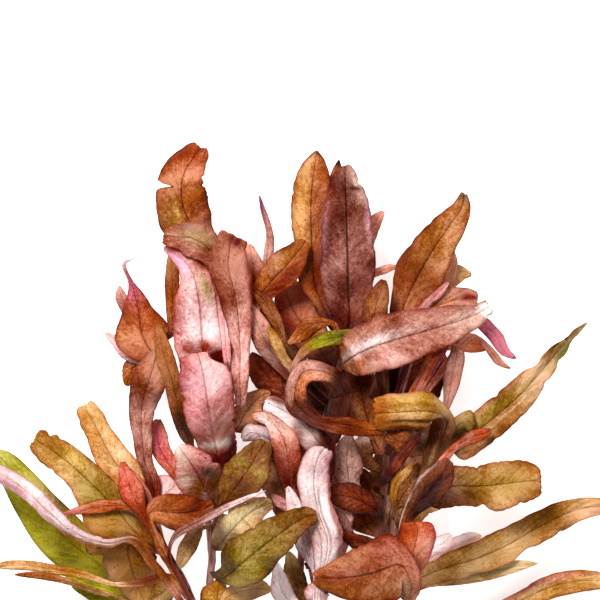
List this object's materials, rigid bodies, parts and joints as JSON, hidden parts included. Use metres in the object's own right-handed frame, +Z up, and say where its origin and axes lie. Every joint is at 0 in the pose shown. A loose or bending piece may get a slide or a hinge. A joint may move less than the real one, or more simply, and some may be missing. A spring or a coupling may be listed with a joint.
{
  "type": "ammannia senegalensis bunch",
  "caption": "Bunch of cut leafy aquarium plant stems lying flat, with slender stems and many thin lance-shaped leaves in rust, pink, gold and olive.",
  "frame": {"origin": "middle of the bounding box at its lowest level, on the surface the bunch lies on", "axes": "+Z up from the surface, +Y from the cut ends of the stems towards the leafy tops, +X to the right as seen from above with the tops away from the viewer"},
  "size_m": [0.2019, 0.2135, 0.0539],
  "materials": {
    "rust": "satin upper side of a leaf, rust orange to brown",
    "mauve": "satin under side of a leaf, dusty mauve",
    "pink": "silky under side of a leaf, pale pink",
    "white": "silky bleached leaf, pinkish white",
    "gold": "satin upper side of a leaf, golden brown",
    "olive": "satin upper side of a leaf, olive brown",
    "green": "satin lower leaf, yellow green",
    "maroon": "satin shaded leaf, dark red brown",
    "stem": "smooth wet stem, dull red to mauve"
  },
  "bodies": {
    "root": {"leaf_a1": "rust", "leaf_a2": "mauve", "leaf_a3": "pink", "leaf_a4": "pink", "leaf_a5": "white", "leaf_a6": "rust", "leaf_b1": "rust", "leaf_b2": "mauve", "leaf_b3": "pink", "leaf_b4": "mauve", "leaf_b5": "pink", "leaf_b6": "gold", "leaf_b7": "gold", "leaf_b8": "pink", "leaf_b9": "olive", "leaf_b10": "olive", "leaf_c1": "gold", "leaf_c2": "gold", "leaf_c3": "rust", "leaf_c4": "white", "leaf_c5": "rust", "leaf_c6": "mauve", "leaf_d1": "rust", "leaf_d2": "olive", "leaf_d3": "rust", "leaf_e1": "rust", "leaf_e2": "rust", "leaf_e3": "maroon", "leaf_e4": "maroon", "leaf_e5": "mauve", "leaf_f1": "olive", "leaf_f2": "olive", "leaf_f3": "gold", "leaf_f4": "gold", "leaf_f5": "maroon", "leaf_g1": "rust", "leaf_g2": "gold", "leaf_g3": "olive", "leaf_g4": "mauve", "leaf_g5": "gold", "leaf_h1": "white", "leaf_i1": "green", "leaf_under1": "maroon", "leaf_under2": "rust", "leaf_under3": "rust", "leaf_under4": "olive", "leaf_under5": "maroon", "leaf_low1": "olive", "leaf_low2": "olive", "leaf_low3": "green", "leaf_low4": "green", "stem_a": "stem", "stem_b": "stem", "stem_c": "stem", "stem_d": "stem", "stem_e": "stem", "stem_f": "stem", "stem_g": "stem", "stem_h": "stem", "stem_i": "stem"}
  },
  "joints": []
}
